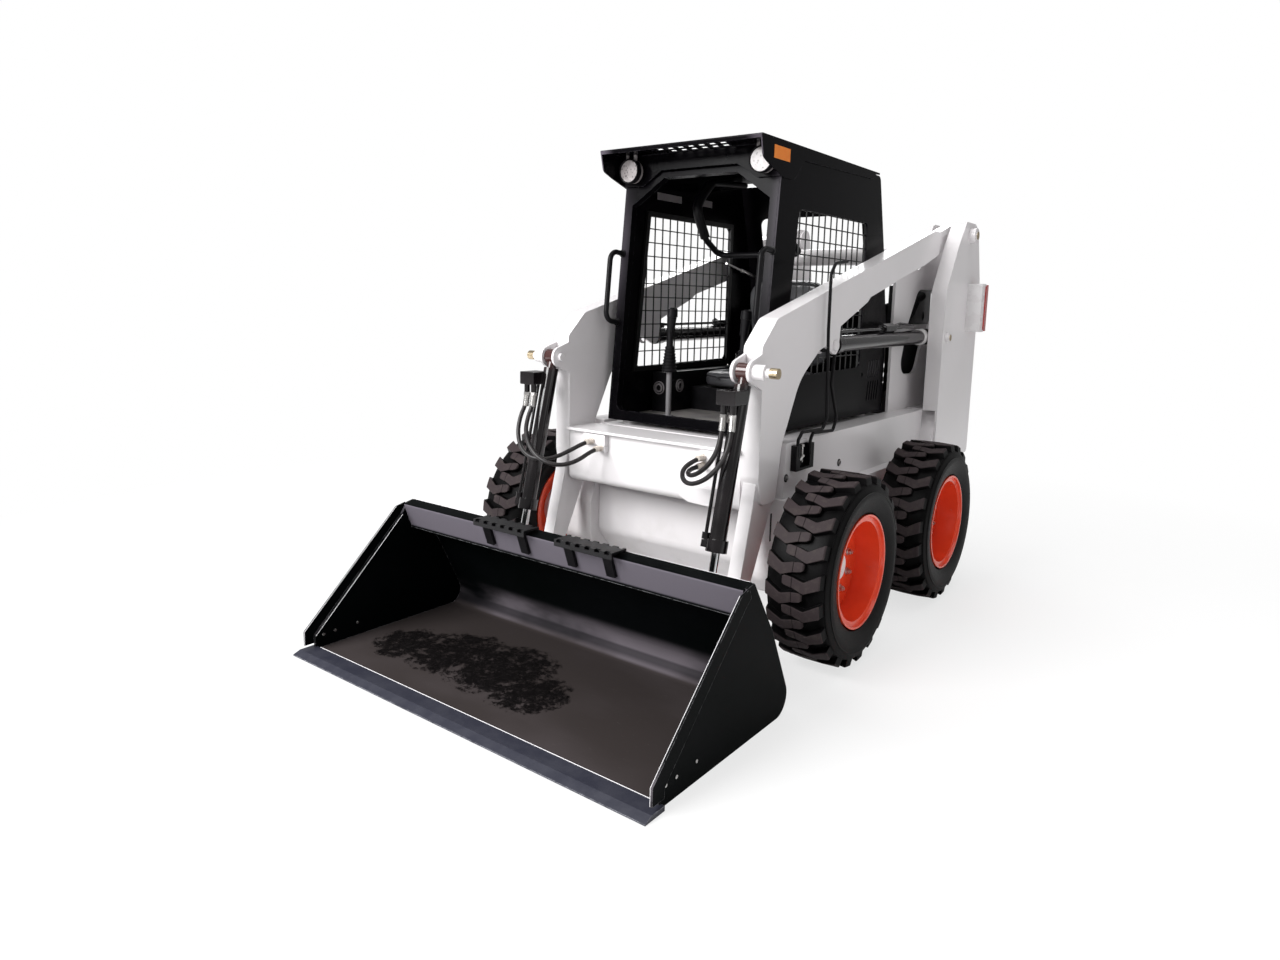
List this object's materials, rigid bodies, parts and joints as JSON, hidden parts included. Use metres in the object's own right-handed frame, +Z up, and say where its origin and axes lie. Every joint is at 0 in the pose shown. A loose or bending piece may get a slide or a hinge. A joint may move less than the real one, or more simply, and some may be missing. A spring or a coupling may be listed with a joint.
{
  "type": "skid steer loader",
  "caption": "Compact four-wheeled loader with a caged cab, side lift arms pivoted at the rear and a wide flat-floored bucket lowered in front.",
  "frame": {"origin": "on the floor, in the middle of the machine's width and length, with the bucket lowered", "axes": "+Y towards the rear, -Y towards the bucket, +X towards the driver's left, +Z up"},
  "size_m": [1.82, 3.588, 2.0924],
  "materials": {
    "white_paint": "gloss white enamel, dusty at the edges",
    "cab_black": "gloss black enamel",
    "bucket_black": "satin black enamel, worn brown on the floor",
    "edge_steel": "dark grey paint scuffed along the lip",
    "rim_paint": "red-orange enamel",
    "tyre_rubber": "black tread rubber",
    "cylinder_black": "gloss black paint",
    "rod_chrome": "hard chrome",
    "hose_rubber": "black hydraulic hose",
    "lamp_housing": "white lamp bodies",
    "headlamp": "clear lens over a reflector",
    "engine_paint": "dark grey casting",
    "seat_vinyl": "black vinyl under a clear sheet",
    "cab_trim": "dark grey moulded trim",
    "floor_plate": "grey floor plate",
    "mesh_black": "black wire mesh"
  },
  "bodies": {
    "root": {"hull": "white_paint", "side_boxes": "white_paint", "chain_cases": "white_paint", "columns": "white_paint", "engine_block": "engine_paint", "engine_cover": "white_paint", "tail_lamps": "lamp_housing", "cab_sides": "cab_black", "window_mesh": "mesh_black", "cab_roof": "cab_black", "cab_front": "cab_black", "cab_rear": "cab_black", "cab_floor": "floor_plate", "headlamps": "headlamp", "grab_handles": "cab_trim", "seat_base": "cab_trim", "seat_pads": "seat_vinyl", "side_consoles": "cab_trim", "lap_bar": "cab_trim", "control_levers": "cab_trim", "arm_prop": "cab_trim"},
    "rear_door": {"rear_door": "white_paint"},
    "arm": {"arms": "white_paint", "crossmembers": "white_paint", "hose_left_inner": "hose_rubber", "hose_left_outer": "hose_rubber", "hose_right_inner": "hose_rubber", "hose_right_outer": "hose_rubber"},
    "bucket": {"bucket_shell": "bucket_black", "cutting_edge": "edge_steel", "bucket_steps": "bucket_black", "coupler": "bucket_black"},
    "wheel_front_left": {"tyre_front_left": "tyre_rubber", "rim_front_left": "rim_paint"},
    "wheel_rear_left": {"tyre_rear_left": "tyre_rubber", "rim_rear_left": "rim_paint"},
    "lift_barrel_left": {"lift_barrel_left": "cylinder_black"},
    "lift_rod_left": {"lift_rod_left": "rod_chrome"},
    "tilt_barrel_left": {"tilt_barrel_left": "cylinder_black"},
    "tilt_rod_left": {"tilt_rod_left": "rod_chrome"},
    "wheel_front_right": {"tyre_front_right": "tyre_rubber", "rim_front_right": "rim_paint"},
    "wheel_rear_right": {"tyre_rear_right": "tyre_rubber", "rim_rear_right": "rim_paint"},
    "lift_barrel_right": {"lift_barrel_right": "cylinder_black"},
    "lift_rod_right": {"lift_rod_right": "rod_chrome"},
    "tilt_barrel_right": {"tilt_barrel_right": "cylinder_black"},
    "tilt_rod_right": {"tilt_rod_right": "rod_chrome"}
  },
  "joints": [
    {"name": "arm_lift", "type": "hinge", "parent": "root", "child": "arm", "pos_m": [0, 1.549, 1.84], "axis": [-1, 0, 0], "range_deg": [0, 62]},
    {"name": "bucket_tilt", "type": "hinge", "parent": "arm", "child": "bucket", "pos_m": [0, -0.826, 0.14], "axis": [1, 0, 0], "range_deg": [-28, 98]},
    {"name": "rear_door_hinge", "type": "hinge", "parent": "root", "child": "rear_door", "pos_m": [-0.422, 1.7713, 0.8], "axis": [0, 0, 1], "range_deg": [0, 110]},
    {"name": "wheel_front_left_spin", "type": "hinge", "parent": "root", "child": "wheel_front_left", "pos_m": [0.778, -0.401, 0.386], "axis": [1, 0, 0], "continuous": true},
    {"name": "wheel_rear_left_spin", "type": "hinge", "parent": "root", "child": "wheel_rear_left", "pos_m": [0.778, 0.639, 0.386], "axis": [1, 0, 0], "continuous": true},
    {"name": "lift_barrel_left_pivot", "type": "hinge", "parent": "root", "child": "lift_barrel_left", "pos_m": [0.5, 1.249, 1.268], "axis": [-1, 0, 0], "range_deg": [0, 62]},
    {"name": "lift_rod_left_slide", "type": "slide", "parent": "lift_barrel_left", "child": "lift_rod_left", "axis": [0, -0.9999, -0.0128], "range_m": [0, 0.67]},
    {"name": "tilt_barrel_left_pivot", "type": "hinge", "parent": "arm", "child": "tilt_barrel_left", "pos_m": [0.5, -0.706, 1.17], "axis": [1, 0, 0], "range_deg": [-1, 2]},
    {"name": "tilt_rod_left_slide", "type": "slide", "parent": "tilt_barrel_left", "child": "tilt_rod_left", "axis": [0, -0.234, -0.9722], "range_m": [-0.052, 0.18]},
    {"name": "wheel_front_right_spin", "type": "hinge", "parent": "root", "child": "wheel_front_right", "pos_m": [-0.778, -0.401, 0.386], "axis": [1, 0, 0], "continuous": true},
    {"name": "wheel_rear_right_spin", "type": "hinge", "parent": "root", "child": "wheel_rear_right", "pos_m": [-0.778, 0.639, 0.386], "axis": [1, 0, 0], "continuous": true},
    {"name": "lift_barrel_right_pivot", "type": "hinge", "parent": "root", "child": "lift_barrel_right", "pos_m": [-0.5, 1.249, 1.268], "axis": [-1, 0, 0], "range_deg": [0, 62]},
    {"name": "lift_rod_right_slide", "type": "slide", "parent": "lift_barrel_right", "child": "lift_rod_right", "axis": [0, -0.9999, -0.0128], "range_m": [0, 0.67]},
    {"name": "tilt_barrel_right_pivot", "type": "hinge", "parent": "arm", "child": "tilt_barrel_right", "pos_m": [-0.5, -0.706, 1.17], "axis": [1, 0, 0], "range_deg": [-1, 2]},
    {"name": "tilt_rod_right_slide", "type": "slide", "parent": "tilt_barrel_right", "child": "tilt_rod_right", "axis": [0, -0.234, -0.9722], "range_m": [-0.052, 0.18]}
  ],
  "couplings": [
    {"joint": "lift_barrel_left_pivot", "follows": "arm_lift", "ratio": 0.985},
    {"joint": "lift_rod_left_slide", "follows": "arm_lift", "m_per_rad": 0.6144},
    {"joint": "tilt_barrel_left_pivot", "follows": "bucket_tilt", "ratio": 0.015},
    {"joint": "tilt_rod_left_slide", "follows": "bucket_tilt", "m_per_rad": 0.1031},
    {"joint": "lift_barrel_right_pivot", "follows": "arm_lift", "ratio": 0.985},
    {"joint": "lift_rod_right_slide", "follows": "arm_lift", "m_per_rad": 0.6144},
    {"joint": "tilt_barrel_right_pivot", "follows": "bucket_tilt", "ratio": 0.015},
    {"joint": "tilt_rod_right_slide", "follows": "bucket_tilt", "m_per_rad": 0.1031}
  ]
}
